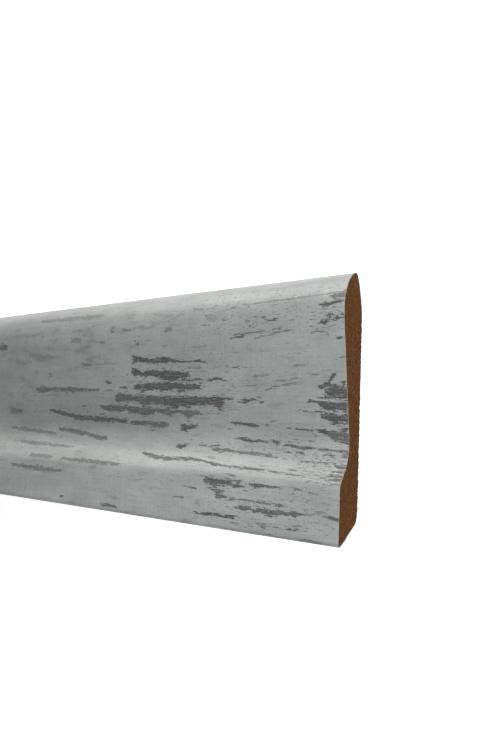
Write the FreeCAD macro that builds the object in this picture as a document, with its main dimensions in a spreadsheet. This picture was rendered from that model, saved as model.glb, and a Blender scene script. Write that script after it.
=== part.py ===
"""Length of moulded skirting board: a milled MDF core wrapped in a printed decor foil.

The board lies on its back. X runs along its length, towards the sawn end that is seen, Y runs up the
board from its floor edge to its top edge, and Z stands out of its face. The origin is the middle of
the back. All sizes are in millimetres, and the angle is in degrees.
"""
import FreeCAD
import Part

import math
import os

import Sketcher

Vector = FreeCAD.Vector

# Driving sizes. Heights are measured up the board from its floor edge.
SIZES = {
    "board_length": 2400.0,
    "board_height": 80.0,
    "board_thickness": 16.0,
    "foil_thickness": 0.3,
    # The toe: a flat band along the floor, with an eased floor edge and a round shoulder above it
    "toe_height": 15.2,
    "toe_setback": 0.4,
    "toe_corner_radius": 1.0,
    "shoulder_radius": 3.3,
    # The neck: a slope falls from the shoulder, at an angle to the face, into the hollow where the board
    # is thinnest
    "slope_angle": 42.0,
    "neck_height": 28.0,
    "neck_thickness": 9.1,
    # The bulge: the face leans out from the neck to the board's full thickness. It and the round of
    # the back are measured down from the top edge
    "bulge_drop": 13.3,
    "bulge_radius": 28.0,
    # The tip: the top edge, where the front ogive meets the round of the back
    "tip_depth": 6.0,
    "tip_radius": 0.6,
    "flat_back_drop": 15.6,
    # The heel: the round floor edge of the back, from which the underside falls to the toe
    "heel_height": 9.0,
    "heel_radius": 4.8,
    # The foil's returns, measured through the board's thickness
    "foil_under_toe": 7.0,
    "foil_behind_tip": 3.5,
    # How far a cutting outline runs past what it cuts
    "cut_margin": 5.0,
}

# The hollow's radius is what lets it touch both the slope and the board's thinnest place
NECK_RADIUS = (
    "=((neck_height - toe_height) * sin(slope_angle)"
    " - (board_thickness - toe_setback - shoulder_radius - neck_thickness) * cos(slope_angle)"
    " - shoulder_radius) / (1 - cos(slope_angle))"
)

LENGTHWISE_PLANE = "YZ_Plane"


def make_sheet(doc):
    """The driving sizes and the hollow's radius, one row each, with its name as the cell's alias."""
    sheet = doc.addObject("Spreadsheet::Sheet", "Sizes")
    rows = {**SIZES, "neck_radius": NECK_RADIUS}
    for row, (name, value) in enumerate(rows.items(), start=1):
        sheet.set(f"A{row}", name)
        sheet.set(f"B{row}", str(value))
        sheet.setAlias(f"B{row}", name)
    doc.recompute()
    return sheet


class Round:
    """One arc of the outline: its centre, and its radius, negative where the board is hollow."""

    def __init__(self, along, across, radius):
        self.centre = Vector(along, across, 0)
        self.radius = radius

    def point(self, normal):
        """The point of the arc where the board's surface faces along normal."""
        return self.centre + normal * self.radius


def shared_normal(first, second):
    """The way that the surface faces where it runs from one arc to the next, straight or touching."""
    gap = second.centre - first.centre
    along = gap * (1 / gap.Length)
    across = Vector(-along.y, along.x, 0)
    sine = max(-1.0, min(1.0, (first.radius - second.radius) / gap.Length))
    return along * sine + across * math.sqrt(1 - sine * sine)


def touching_radius(rise, depth, tip_radius):
    """Radius of an arc that leaves a flat face and touches the tip's arc, rise and depth away."""
    return (rise * rise + depth * depth - tip_radius * tip_radius) / (2 * (depth - tip_radius))


def outline_rounds(sheet, skin):
    """The arcs of the section from the floor edge up the face, over the tip and down the back.

    skin is the thickness that is laid on the milled core: none, or that of the foil.
    """
    front = sheet.board_thickness - sheet.foil_thickness
    tip_height = sheet.board_height - sheet.foil_thickness - sheet.tip_radius
    bulge_height = sheet.board_height - sheet.bulge_drop
    flat_back_top = sheet.board_height - sheet.flat_back_drop
    corner, shoulder = sheet.toe_corner_radius, sheet.shoulder_radius
    toe_edge = corner + sheet.foil_thickness
    toe_front = front - sheet.toe_setback
    ogive = touching_radius(tip_height - bulge_height, front - sheet.tip_depth, sheet.tip_radius)
    crown = touching_radius(tip_height - flat_back_top, sheet.tip_depth, sheet.tip_radius)
    neck_across = sheet.neck_thickness - sheet.foil_thickness + sheet.neck_radius
    return {
        "toe_corner": Round(toe_edge, toe_front - corner, corner + skin),
        "shoulder": Round(sheet.toe_height, toe_front - shoulder, shoulder + skin),
        "neck": Round(sheet.neck_height, neck_across, skin - sheet.neck_radius),
        "bulge": Round(bulge_height, front - sheet.bulge_radius, sheet.bulge_radius + skin),
        "ogive": Round(bulge_height, front - ogive, ogive + skin),
        "tip": Round(tip_height, sheet.tip_depth, sheet.tip_radius + skin),
        "crown": Round(flat_back_top, crown, crown + skin),
        "heel": Round(sheet.heel_height, sheet.heel_radius, sheet.heel_radius + skin),
    }


def place_sketch(body, name):
    """A sketch across the board: its first axis runs up the board and its second out of the face."""
    sketch = body.newObject("Sketcher::SketchObject", name)
    planes = [feature for feature in body.Origin.OriginFeatures if feature.Role == LENGTHWISE_PLANE]
    sketch.AttachmentSupport = [(planes[0], "")]
    sketch.MapMode = "FlatFace"
    return sketch


def tie(sketch, name, kind, *args, size):
    """Adds a dimension and binds it to the sheet."""
    number = sketch.addConstraint(Sketcher.Constraint(kind, *args))
    sketch.renameConstraint(number, name)
    sketch.setExpression(f"Constraints.{name}", size)


def draw_section(sketch, sheet, skin_name=None):
    """Draws and dimensions the board's whole section, with the foil's thickness laid on if named."""
    skin = sheet.getPropertyByName(skin_name) if skin_name else 0.0
    laid = f" + Sizes.{skin_name}" if skin_name else ""
    cut_off = f" - Sizes.{skin_name}" if skin_name else ""
    rounds = outline_rounds(sheet, skin)
    names = list(rounds)

    # Each stretch is (geometry, the end where it is entered, the end where it is left)
    arcs = {}
    stretches = []
    for number, name in enumerate(names):
        arc = rounds[name]
        before = rounds[names[number - 1]]
        after = rounds[names[(number + 1) % len(names)]]
        enter = shared_normal(before, arc)
        leave = shared_normal(arc, after)
        hollow = arc.radius < 0
        turns = (enter, leave) if hollow else (leave, enter)
        ends = [arc.point(normal) - arc.centre for normal in turns]
        angles = [math.atan2(end.y, end.x) for end in ends]
        circle = Part.Circle(arc.centre, Vector(0, 0, 1), abs(arc.radius))
        arcs[name] = sketch.addGeometry(Part.ArcOfCircle(circle, angles[0], angles[1]))
        stretches.append((arcs[name], 1, 2) if hollow else (arcs[name], 2, 1))
        start, end = arc.point(leave), after.point(leave)
        if (end - start).Length > 1e-6:
            stretches.append((sketch.addGeometry(Part.LineSegment(start, end)), 1, 2))
            if (name, names[(number + 1) % len(names)]) == ("crown", "heel"):
                back = stretches[-1][0]

    for (first, _, leave), (second, enter, _) in zip(stretches, stretches[1:] + stretches[:1]):
        sketch.addConstraint(Sketcher.Constraint("Tangent", first, leave, second, enter))

    def radius(name, size):
        value = abs(rounds[name].radius)
        tie(sketch, f"{name}_radius", "Radius", arcs[name], value, size=size)

    def centre(name, axis, value, size):
        kind = "DistanceX" if axis == "height" else "DistanceY"
        tie(sketch, f"{name}_{axis}", kind, -1, 1, arcs[name], 3, value, size=size)

    for name in ("toe_corner", "shoulder", "bulge", "tip", "heel"):
        radius(name, f"Sizes.{name}_radius{laid}")
    radius("neck", f"Sizes.neck_radius{cut_off}")

    front = "Sizes.board_thickness - Sizes.foil_thickness"
    heights = {
        "toe_corner": "Sizes.toe_corner_radius + Sizes.foil_thickness",
        "shoulder": "Sizes.toe_height",
        "neck": "Sizes.neck_height",
        "bulge": "Sizes.board_height - Sizes.bulge_drop",
        "ogive": "Sizes.board_height - Sizes.bulge_drop",
        "tip": "Sizes.board_height - Sizes.foil_thickness - Sizes.tip_radius",
        "crown": "Sizes.board_height - Sizes.flat_back_drop",
        "heel": "Sizes.heel_height",
    }
    depths = {
        "toe_corner": f"{front} - Sizes.toe_setback - Sizes.toe_corner_radius",
        "shoulder": f"{front} - Sizes.toe_setback - Sizes.shoulder_radius",
        "neck": "Sizes.neck_thickness - Sizes.foil_thickness + Sizes.neck_radius",
        "tip": "Sizes.tip_depth",
        "heel": "Sizes.heel_radius",
    }
    for name, size in heights.items():
        centre(name, "height", rounds[name].centre.x, size)
    for name, size in depths.items():
        centre(name, "depth", rounds[name].centre.y, size)
    crest = rounds["bulge"].point(Vector(0, 1, 0)).y
    tie(sketch, "crest_depth", "DistanceY", -1, 1, arcs["bulge"], 1, crest, size=f"{front}{laid}")
    sketch.addConstraint(Sketcher.Constraint("Horizontal", back))


def draw_open_back(sketch, sheet):
    """Draws what is left bare of foil: the back up to the return behind the tip, and the underside."""
    past = sheet.cut_margin
    low = sheet.board_thickness - sheet.foil_under_toe
    high = sheet.tip_depth - sheet.foil_behind_tip
    corners = [
        Vector(-past, -past, 0),
        Vector(-past, low, 0),
        Vector(sheet.heel_height, low, 0),
        Vector(sheet.heel_height, high, 0),
        Vector(sheet.board_height + past, high, 0),
        Vector(sheet.board_height + past, -past, 0),
    ]
    sides = []
    for start, end in zip(corners, corners[1:] + corners[:1]):
        sides.append(sketch.addGeometry(Part.LineSegment(start, end)))
    for first, second in zip(sides, sides[1:] + sides[:1]):
        sketch.addConstraint(Sketcher.Constraint("Coincident", first, 2, second, 1))
    for number, side in enumerate(sides):
        way = "Vertical" if number % 2 == 0 else "Horizontal"
        sketch.addConstraint(Sketcher.Constraint(way, side))
    margin = "Sizes.cut_margin"
    tie(sketch, "below_floor_edge", "DistanceX", sides[0], 1, -1, 1, past, size=margin)
    tie(sketch, "behind_back", "DistanceY", sides[0], 1, -1, 1, past, size=margin)
    tie(sketch, "under_toe", "DistanceY", -1, 1, sides[1], 1, low,
        size="Sizes.board_thickness - Sizes.foil_under_toe")
    tie(sketch, "step_height", "DistanceX", -1, 1, sides[2], 1, sheet.heel_height, size="Sizes.heel_height")
    tie(sketch, "behind_tip", "DistanceY", -1, 1, sides[3], 1, high,
        size="Sizes.tip_depth - Sizes.foil_behind_tip")
    tie(sketch, "above_tip", "DistanceX", -1, 1, sides[4], 1, sheet.board_height + past,
        size=f"Sizes.board_height + {margin}")


def run_length(body, kind, name, sketch):
    """Runs a sketch along the board, equally to both sides of the middle."""
    feature = body.newObject(kind, name)
    feature.Profile = sketch
    feature.SideType = "Symmetric"
    feature.setExpression("Length", "Sizes.board_length")
    sketch.Visibility = False
    return feature


def start_body(doc, name):
    """A body whose floor edge lies half the board's height below the origin."""
    body = doc.addObject("PartDesign::Body", name)
    body.Label = name
    body.setExpression("Placement.Base.y", "-Sizes.board_height / 2")
    return body


def make_core(doc, sheet):
    """The MDF core, milled to the section in one pass along its length."""
    body = start_body(doc, "mdf_core")
    section = place_sketch(body, "core_section")
    draw_section(section, sheet)
    run_length(body, "PartDesign::Pad", "milled_length", section)
    return body


def make_foil(doc, sheet):
    """The printed foil: a skin laid on the core, from under the toe over the face to behind the tip."""
    body = start_body(doc, "decor_foil")
    outside = place_sketch(body, "foil_section")
    draw_section(outside, sheet, "foil_thickness")
    run_length(body, "PartDesign::Pad", "wrapped_length", outside)
    inside = place_sketch(body, "space_for_core")
    draw_section(inside, sheet)
    run_length(body, "PartDesign::Pocket", "core_space", inside)
    bare = place_sketch(body, "bare_back")
    draw_open_back(bare, sheet)
    run_length(body, "PartDesign::Pocket", "back_left_open", bare)
    return body


def check_document(doc, bodies):
    """Stops if any feature failed, or a piece isn't one sound solid."""
    for item in doc.Objects:
        if "Invalid" in item.State or "Error" in item.State:
            raise RuntimeError(f"{item.Name} failed: {item.State}")
    for body in bodies:
        shape = body.Shape
        if shape.isNull() or not shape.isValid() or len(shape.Solids) != 1:
            raise RuntimeError(f"{body.Label} is not one valid solid")


def main():
    doc = FreeCAD.newDocument("skirting_board")
    sheet = make_sheet(doc)
    bodies = [make_core(doc, sheet), make_foil(doc, sheet)]
    doc.recompute()
    check_document(doc, bodies)
    os.makedirs("parts", exist_ok=True)
    for body in bodies:
        box = body.Shape.BoundBox
        body.Shape.exportStep(os.path.join("parts", f"{body.Label}.step"))
        print(f"{body.Label}: {box.XLength:.2f} x {box.YLength:.2f} x {box.ZLength:.2f} mm,"
              f" z from {box.ZMin:.2f}, {body.Shape.Volume / 1000:.1f} cm3")


main()
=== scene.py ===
"""A length of skirting board, dressed: a milled MDF core wrapped in a printed decor foil.

The board lies on its back. X runs along it towards the sawn end that faces the camera, Y runs up it from
its floor edge to its top edge, and Z stands out of its face. Places and sizes are in metres, apart from
those of the print, which are in millimetres: from the sawn end, and up the face from the floor edge.
"""

import math

import bpy
import numpy as np
from bpy.props import FloatProperty, FloatVectorProperty, PointerProperty
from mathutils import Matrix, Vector, noise


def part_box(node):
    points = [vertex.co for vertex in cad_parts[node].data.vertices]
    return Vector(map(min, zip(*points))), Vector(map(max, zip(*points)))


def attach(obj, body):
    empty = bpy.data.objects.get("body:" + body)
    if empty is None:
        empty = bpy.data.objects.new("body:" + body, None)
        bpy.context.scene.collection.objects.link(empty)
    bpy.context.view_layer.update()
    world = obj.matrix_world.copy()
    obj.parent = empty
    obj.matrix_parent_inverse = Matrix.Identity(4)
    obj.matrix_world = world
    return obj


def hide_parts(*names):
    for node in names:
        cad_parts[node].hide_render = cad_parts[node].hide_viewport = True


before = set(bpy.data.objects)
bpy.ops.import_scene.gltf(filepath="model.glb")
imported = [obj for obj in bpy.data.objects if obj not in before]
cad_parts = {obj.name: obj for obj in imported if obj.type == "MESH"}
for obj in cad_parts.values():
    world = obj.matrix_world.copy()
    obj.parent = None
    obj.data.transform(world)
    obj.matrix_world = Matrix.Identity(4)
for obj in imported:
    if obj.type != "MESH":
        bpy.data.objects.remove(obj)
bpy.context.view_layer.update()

bl_info = {
    "name": "Skirting board length",
    "version": (1, 0, 0),
    "blender": (4, 5, 0),
    "location": "View3D > Sidebar > Skirting",
    "description": "Builds a length of foil-wrapped MDF skirting board with a distressed painted-wood print",
    "category": "Add Mesh",
}

MM = 0.001
FOIL_LOW, FOIL_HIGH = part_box("decor_foil")
CORE_LOW, CORE_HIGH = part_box("mdf_core")

# How finely the outline is drawn: its steps across the print and where no print shows, and the fewest steps
# round an arc
PRINT_STEP = 0.4 * MM
PLAIN_STEP = 0.5 * MM
FEWEST_STEPS = 2
# Arcs of the outline that lie this near touch, and vertices that lie this near are one
TOUCHING = 0.001 * MM
MERGED = 0.01 * MM
# Edges that turn by more than this stay sharp
SHARP_EDGE = math.radians(30)
# Stretches of the foil from the far end to the near one: how long, and in how many spans. The near ones
# are fine enough to hold the streaks of the print
FOIL_STRETCHES = ((2.235, 10), (0.105, 84), (0.060, 80))
# Grid of the sawn ends, which holds the tear of the saw, and the size of what the saw tears out
SAW_GRID = 1.0 * MM
TEAR_SIZE = 1.3 * MM
# The saw breaks chips out of the back edge: their size, and how far they reach along the board, and in from
# the back
CHIP_SIZE = 1.6 * MM
CHIP_LENGTH = 1.5 * MM
CHIP_REACH = 2.4 * MM

# The worn streaks of the print near the sawn end. Each is a strength, above 1 where no strand of paint is
# left, and places along the streak: from the sawn end, up the face, and the streak's height there
STREAKS = {
    "toe": (
        (1.0, (45.7, 15.4, 1.0), (45, 15.4, 2.0), (43, 15.3, 2.4), (41.2, 14.8, 3.0), (40, 14.9, 2.6),
         (39, 15.3, 1.8), (36.6, 15.3, 1.4), (35.3, 15.0, 1.2), (34.3, 14.4, 1.3), (32, 14.6, 0.8),
         (29.7, 14.9, 0.5)),
        (0.9, (38, 16.3, 0.5), (35.5, 16.1, 0.5), (33, 16.0, 0.6), (31.3, 16.2, 0.5)),
        (0.6, (47.5, 16.5, 0.5), (46.3, 16.5, 0.5)),
        (1.0, (29.5, 15.7, 0.5), (27, 15.3, 0.8), (25, 15.3, 1.0), (22, 15.3, 0.9), (20, 15.3, 0.6),
         (18.5, 15.2, 0.5)),
        (0.9, (27.2, 14.5, 0.6), (26.6, 14.6, 0.6)),
        (0.8, (14.7, 15.4, 0.5), (12, 15.4, 0.5)),
        (0.6, (9.7, 14.8, 0.6), (6, 14.6, 0.6)),
        (0.9, (44, 13.2, 0.7), (42.8, 13.0, 0.9), (41.5, 12.3, 0.6), (40.5, 12.4, 1.2), (39.5, 12.3, 1.7),
         (38, 12.3, 0.8)),
        (0.9, (41.2, 11.3, 0.8), (40, 10.9, 1.4), (38, 10.9, 0.9), (36.2, 10.8, 0.5)),
        (0.9, (35.7, 10.5, 1.0), (34, 10.5, 0.9), (31.8, 10.8, 0.8), (30, 10.5, 0.7)),
        (0.9, (29, 10.6, 0.7), (25, 10.5, 0.7), (21.6, 10.3, 0.6), (15.7, 10.2, 0.5)),
        (1.0, (33.7, 8.2, 0.7), (32, 8.2, 1.2), (30, 8.3, 1.7), (28.5, 8.6, 1.3), (27.4, 8.1, 1.2),
         (25.8, 7.9, 1.2), (24.3, 8.2, 1.4), (22.8, 8.0, 1.6), (21.2, 7.6, 1.9), (19.7, 7.8, 1.5),
         (18.2, 8.2, 1.4), (15.8, 8.3, 1.1), (14, 8.3, 1.3), (12, 8.5, 0.9), (10, 8.7, 0.5)),
        (0.6, (10, 8.7, 0.6), (6.5, 8.9, 0.5)),
        (0.6, (6.6, 9.6, 0.5), (4, 9.6, 0.5)),
        (1.0, (4.7, 8.9, 0.5), (2, 8.5, 1.0), (0, 8.3, 1.2)),
        (1.1, (48.2, 4.8, 0.6), (46, 4.9, 0.8), (42, 5.1, 0.8), (38, 5.1, 0.8), (36, 5.0, 1.0),
         (33.0, 5.2, 0.8)),
        (0.6, (48.5, 3.4, 0.5), (47.2, 3.4, 0.5)),
        (0.8, (34, 3.5, 0.5), (31.6, 3.5, 0.5)),
        (0.6, (29, 3.6, 0.5), (27.8, 3.6, 0.5)),
        (1.0, (24.9, 4.0, 0.6), (23.5, 3.6, 1.0), (22.5, 3.3, 0.7)),
        (0.8, (23.3, 4.6, 0.5), (20.8, 4.6, 0.5)),
        (0.8, (19.9, 4.1, 0.5), (18.2, 4.1, 0.5)),
        (1.0, (15.8, 4.1, 0.6), (14.5, 4.0, 0.5), (12.4, 3.9, 0.6)),
        (0.7, (14, 5.2, 0.5), (11.6, 5.2, 0.5)),
        (0.9, (4.7, 3.9, 0.5), (3.2, 3.9, 0.5)),
        (0.7, (12, 1.5, 0.5), (8.5, 1.5, 0.6), (5, 1.6, 0.5), (2, 1.3, 0.5)),
        (0.5, (34, 1.2, 0.5), (15, 1.2, 0.5)),
        (0.8, (53.5, 12.6, 0.5), (48, 12.5, 0.5)),
        (0.7, (57, 9.2, 0.5), (53, 9.1, 0.5)),
        (0.9, (90, 3.2, 1.1), (82, 3.0, 0.8)),
        (0.9, (111.5, 3.8, 0.9), (110, 3.7, 0.8)),
        (0.7, (143, 13.8, 1.2), (132, 13.4, 1.6), (125, 13.3, 2.0), (112, 13.2, 0.8)),
    ),
    "slope": (
        (0.92, (37.8, 17.9, 0.5), (34.5, 17.7, 0.5)),
        (0.62, (34, 17.6, 0.5), (32.4, 17.6, 0.5)),
        (0.6, (133, 18.5, 1.6), (119, 18.2, 1.5)),
        (0.7, (114, 18.1, 1.0), (100, 18.1, 1.6), (88, 17.9, 1.6), (83, 17.7, 1.0)),
        (0.82, (17.8, 21.6, 0.5), (16.3, 21.4, 0.5), (14.5, 21.2, 0.5)),
        (0.62, (26.4, 22.2, 0.5), (24.9, 22.2, 0.5)),
        (0.92, (76, 23.9, 0.8), (70, 22.6, 1.6), (64, 21.9, 2.0), (58, 22.4, 1.6), (52, 22.6, 1.4),
         (49.7, 22.4, 1.1), (47, 21.8, 0.8), (43.2, 21.3, 1.2), (40.5, 20.9, 0.6), (38, 20.9, 0.7),
         (35.5, 20.9, 0.6), (32.8, 20.6, 0.9), (30.5, 20.6, 1.1), (27.4, 20.6, 0.8), (24.3, 20.6, 0.7)),
        (0.82, (24, 20.4, 0.7), (19, 20.0, 0.6), (15, 19.7, 0.6), (12, 19.6, 0.5)),
        (0.62, (47.8, 24.0, 0.5), (45.5, 23.8, 0.6), (42.8, 23.5, 0.5)),
        (0.6, (146, 25.2, 1.2), (136, 24.5, 1.8), (124, 24.3, 1.5), (112, 24.0, 0.9)),
        (0.82, (47.3, 26.9, 0.7), (45, 26.9, 1.2), (43, 26.9, 1.4), (41, 26.9, 0.9), (38.5, 26.7, 0.8),
         (36.5, 26.6, 0.8), (35, 26.5, 1.0), (32, 26.4, 1.1), (30, 26.3, 1.2), (27.5, 26.2, 1.0),
         (25, 25.9, 0.7), (21.6, 25.5, 0.6)),
        (0.82, (21, 25.3, 0.6), (19.7, 25.2, 0.9)),
        (0.82, (15, 24.9, 0.5), (10, 24.8, 0.5), (5, 24.6, 0.5)),
        (1.0, (62, 27.2, 1.2), (60, 27.2, 1.4), (57.5, 27.4, 1.2)),
        (0.92, (52.5, 28.0, 0.5), (46, 28.0, 0.6), (44.3, 28.5, 0.6)),
        (0.92, (19.7, 27.5, 0.6), (18.2, 27.6, 0.6)),
        (1.0, (15.8, 27.7, 0.7), (14.5, 27.5, 1.0), (13.5, 27.2, 0.6)),
        (1.0, (7.4, 27.4, 0.5), (5.5, 27.3, 0.8), (4.3, 27.0, 0.5)),
        (0.92, (1.6, 27.4, 0.9), (0, 27.3, 1.3)),
        (1.0, (4, 24.6, 0.6), (3, 24.1, 1.2), (1.6, 23.7, 1.1), (0, 24.0, 1.0)),
        (1.0, (3.5, 22.1, 0.6), (0, 21.9, 0.6)),
        (1.0, (4.7, 20.5, 0.6), (0, 20.6, 0.8)),
        (0.82, (6.6, 19.5, 0.6), (5.4, 19.4, 0.6)),
        (1.0, (4.2, 19.0, 0.6), (1.5, 19.2, 0.9), (0, 19.2, 1.3)),
        (0.82, (3, 17.8, 0.5), (0, 17.7, 0.5)),
    ),
    "neck": (
        (0.8, (124, 31.3, 1.4), (112, 30.3, 1.8), (104, 29.4, 1.4), (100, 28.5, 1.7), (96, 28.6, 1.5)),
        (0.6, (155, 30.9, 1.4), (135, 29.8, 1.8), (125, 29.2, 1.4)),
        (1.0, (38.2, 31.0, 0.6), (36, 30.8, 0.8), (34, 30.5, 1.3), (32, 30.4, 1.1), (30, 30.4, 0.8),
         (26.4, 30.3, 0.7)),
        (1.0, (24.8, 30.6, 1.0), (22.3, 30.2, 1.1)),
        (1.0, (21.2, 29.8, 0.7), (18, 29.6, 0.7), (16, 29.2, 1.0), (14.5, 29.1, 1.1), (13, 29.1, 0.8),
         (10, 29.0, 0.7), (4.7, 28.8, 0.7), (0, 28.5, 0.6)),
        (0.7, (19.6, 30.9, 0.6), (18, 30.8, 0.5)),
        (1.0, (39.8, 36.2, 0.8), (38, 36.0, 1.3), (35.7, 35.8, 1.2), (33.5, 35.6, 1.1), (31.5, 35.4, 0.8),
         (28.7, 35.4, 0.5)),
        (0.8, (27.7, 35.5, 0.5), (25.6, 35.4, 0.5)),
        (0.6, (31.8, 34.6, 0.5), (30, 34.4, 0.5)),
        (0.6, (41.4, 33.9, 0.6), (39.6, 33.9, 0.6)),
        (0.6, (25, 36.8, 0.5), (23.4, 37.0, 0.5)),
        (0.9, (20, 34.9, 0.5), (18.4, 34.9, 0.5)),
        (1.0, (17, 34.7, 0.5), (14, 34.5, 0.6), (10.5, 34.3, 0.5)),
        (0.7, (11.2, 33.2, 0.5), (10.1, 32.7, 0.6)),
        (0.6, (13.6, 31.4, 0.5), (10.8, 31.0, 0.5)),
        (0.8, (74.5, 32.2, 0.8), (73, 32.3, 0.6)),
        (1.0, (60.8, 33.6, 2.2), (58.5, 33.7, 2.5), (56, 34.2, 1.7), (53.5, 34.5, 0.9)),
        (0.9, (57.8, 36.2, 1.6), (56.8, 36.2, 1.6)),
    ),
    "long slanting streak": (
        (1.0, (129, 38.9, 1.2), (120, 37.5, 1.6), (110, 36.0, 2.0), (98, 35.8, 1.9), (89, 35.4, 1.7),
         (85.5, 35.2, 1.4)),
        (0.95, (84.5, 34.9, 1.4), (80, 34.9, 1.7), (76.5, 34.8, 1.5)),
        (0.85, (76.5, 34.8, 1.3), (73.5, 34.5, 2.0), (71, 34.2, 2.4), (67, 34.5, 1.7), (65, 35.2, 0.9)),
        (0.7, (155, 38.3, 2.2), (147, 38.0, 2.0)),
        (0.7, (110, 40.8, 0.8), (107, 40.8, 0.8)),
        (0.7, (100, 37.7, 0.9), (97.5, 37.7, 0.9)),
    ),
    "middle group": (
        (1.1, (81.6, 58.0, 2.4), (81, 58.1, 3.0), (79, 58.4, 2.4), (76, 57.7, 1.7), (72, 57.3, 1.6),
         (69, 57.5, 2.3), (66, 57.4, 2.0), (63, 57.1, 1.6), (60, 56.7, 1.0), (57, 56.4, 0.7),
         (55, 56.6, 0.6), (53, 56.7, 0.9), (51, 56.4, 0.7), (48.3, 56.0, 0.5)),
        (0.57, (58, 54.4, 0.5), (51, 54.2, 0.5)),
        (1.1, (82.4, 53.4, 1.8), (81, 53.6, 3.0), (79.3, 53.4, 2.8), (78.2, 52.6, 1.8), (76, 52.7, 3.0),
         (74, 53.0, 2.0), (71, 52.9, 1.8), (69, 52.2, 3.0), (67, 52.1, 3.6), (65, 51.6, 4.2),
         (62, 51.6, 3.4), (59, 51.8, 2.6), (57, 52.0, 2.0), (55.9, 52.1, 1.6)),
        (1.05, (60, 50.2, 0.6), (54, 50.1, 0.5), (52, 50.5, 1.0), (50.7, 50.2, 0.7)),
        (1.1, (48.2, 50.1, 0.9), (46.5, 50.3, 1.1), (45, 50.7, 0.9), (43, 50.3, 0.8), (41.5, 49.9, 0.5)),
        (1.05, (81.7, 47.9, 1.4), (80, 48.1, 2.2), (78, 48.1, 2.6), (75, 48.1, 2.8), (71, 48.0, 2.9),
         (66, 48.0, 3.0), (63, 48.4, 2.8), (60.5, 47.6, 3.1), (57, 47.9, 2.2), (54, 47.8, 2.2),
         (51.4, 47.9, 1.8)),
        (0.95, (78.5, 46.4, 1.6), (77.2, 46.4, 1.6)),
        (0.95, (91.3, 43.8, 2.0), (90, 44.1, 3.2), (87, 44.2, 3.2), (84, 44.1, 2.6), (80, 43.8, 2.5),
         (77, 43.0, 3.7), (74, 43.4, 2.8), (71, 43.3, 2.9), (68, 43.0, 3.4)),
        (1.05, (69, 43.1, 3.2), (65, 42.7, 4.0), (63, 42.3, 4.4), (61, 42.7, 4.2), (58, 42.8, 3.5),
         (55, 43.0, 3.1), (52, 42.9, 3.0), (49, 42.9, 2.9), (46, 43.0, 2.9), (44.3, 42.2, 4.0),
         (43.2, 42.4, 3.0), (42.3, 43.0, 1.6)),
        (1.05, (49, 44.2, 0.6), (44, 44.0, 0.6), (41, 43.8, 0.7), (38.3, 43.9, 0.6)),
        (1.1, (35.5, 43.0, 0.9), (34.2, 43.1, 1.2), (33, 43.2, 1.0), (32, 43.6, 0.6), (30.4, 43.6, 0.5)),
        (0.77, (37, 42.8, 0.5), (35.6, 42.8, 0.5)),
        (1.05, (28.8, 42.7, 0.6), (27.5, 42.7, 0.6)),
        (0.67, (29.6, 44.4, 0.5), (28.2, 44.3, 0.5)),
        (0.95, (99.7, 40.5, 1.2), (96, 40.1, 2.0), (93, 40.1, 2.2), (90.5, 39.7, 3.2), (88.8, 40.2, 2.0),
         (86, 40.3, 2.0), (84, 39.4, 2.8), (80, 39.7, 2.4), (78, 39.2, 2.8), (76, 39.1, 3.3),
         (74, 39.2, 2.4), (72, 39.5, 1.3), (70, 39.7, 1.0)),
        (0.86, (71, 39.6, 1.0), (68, 39.4, 1.8), (66, 38.6, 2.9), (64.5, 38.9, 2.2), (62.5, 39.3, 1.2),
         (60, 39.2, 1.5), (58, 38.4, 2.6), (56.6, 38.3, 2.6), (55, 38.9, 1.5), (53, 39.0, 1.1),
         (51.7, 39.0, 0.9)),
    ),
    "left of the middle": (
        (0.9, (175, 66.5, 2.6), (158, 66.3, 2.6), (154.5, 66.0, 2.0)),
        (0.85, (137, 47.3, 1.6), (131, 47.4, 2.6), (127, 47.5, 1.2), (123, 47.4, 1.8), (114, 47.2, 2.0),
         (108, 47.2, 1.2), (101, 47.1, 0.8)),
        (0.9, (95.8, 50.1, 1.4), (93, 49.8, 1.4)),
        (0.8, (101.2, 47.3, 1.0), (99.5, 47.2, 1.0)),
        (0.6, (96.5, 46.7, 0.8), (92.5, 46.7, 0.8)),
        (0.9, (88.7, 47.9, 1.0), (84.8, 47.9, 1.0)),
        (0.7, (109, 56.9, 1.3), (103, 56.7, 1.1)),
        (0.4, (103, 56.9, 0.5), (90, 57.0, 0.5)),
        (0.9, (79.6, 63.7, 1.9), (78.2, 63.7, 1.6)),
        (0.6, (67, 62.3, 1.1), (65.3, 62.3, 1.0)),
        (0.8, (91.6, 69.5, 2.2), (90.6, 69.5, 2.0)),
        (0.6, (86, 69.0, 1.0), (82, 69.0, 0.9)),
        (0.6, (66, 68.0, 1.4), (63, 68.0, 1.2)),
        (0.6, (128, 53.5, 1.4), (126.5, 53.5, 1.2)),
        (0.5, (146, 52.0, 1.8), (144.5, 52.0, 1.6)),
        (0.5, (114, 67.0, 1.8), (108, 66.4, 2.0)),
        (0.5, (98, 65.0, 1.2), (95, 65.0, 1.0)),
        (0.4, (140, 62.0, 2.6), (125, 60.5, 2.0)),
        (0.5, (135, 76.6, 1.6), (119, 76.3, 2.0), (99, 75.9, 1.6)),
    ),
    "near end": (
        (1.12, (8.9, 47.4, 1.0), (7.3, 47.6, 1.7), (6.2, 48.0, 1.6), (5.3, 49.0, 1.7), (4.7, 49.9, 1.4),
         (4.1, 50.7, 1.5), (3.3, 51.1, 0.9)),
        (1.12, (7.1, 44.8, 1.2), (6.4, 45.6, 3.0), (5, 46.0, 3.7), (3.6, 45.8, 3.9), (2, 45.6, 4.1),
         (0, 45.3, 4.1)),
        (1.12, (1.8, 48.5, 1.0), (0.5, 48.6, 1.0)),
        (1.0, (9, 44.2, 0.5), (7.5, 44.0, 0.5)),
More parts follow.
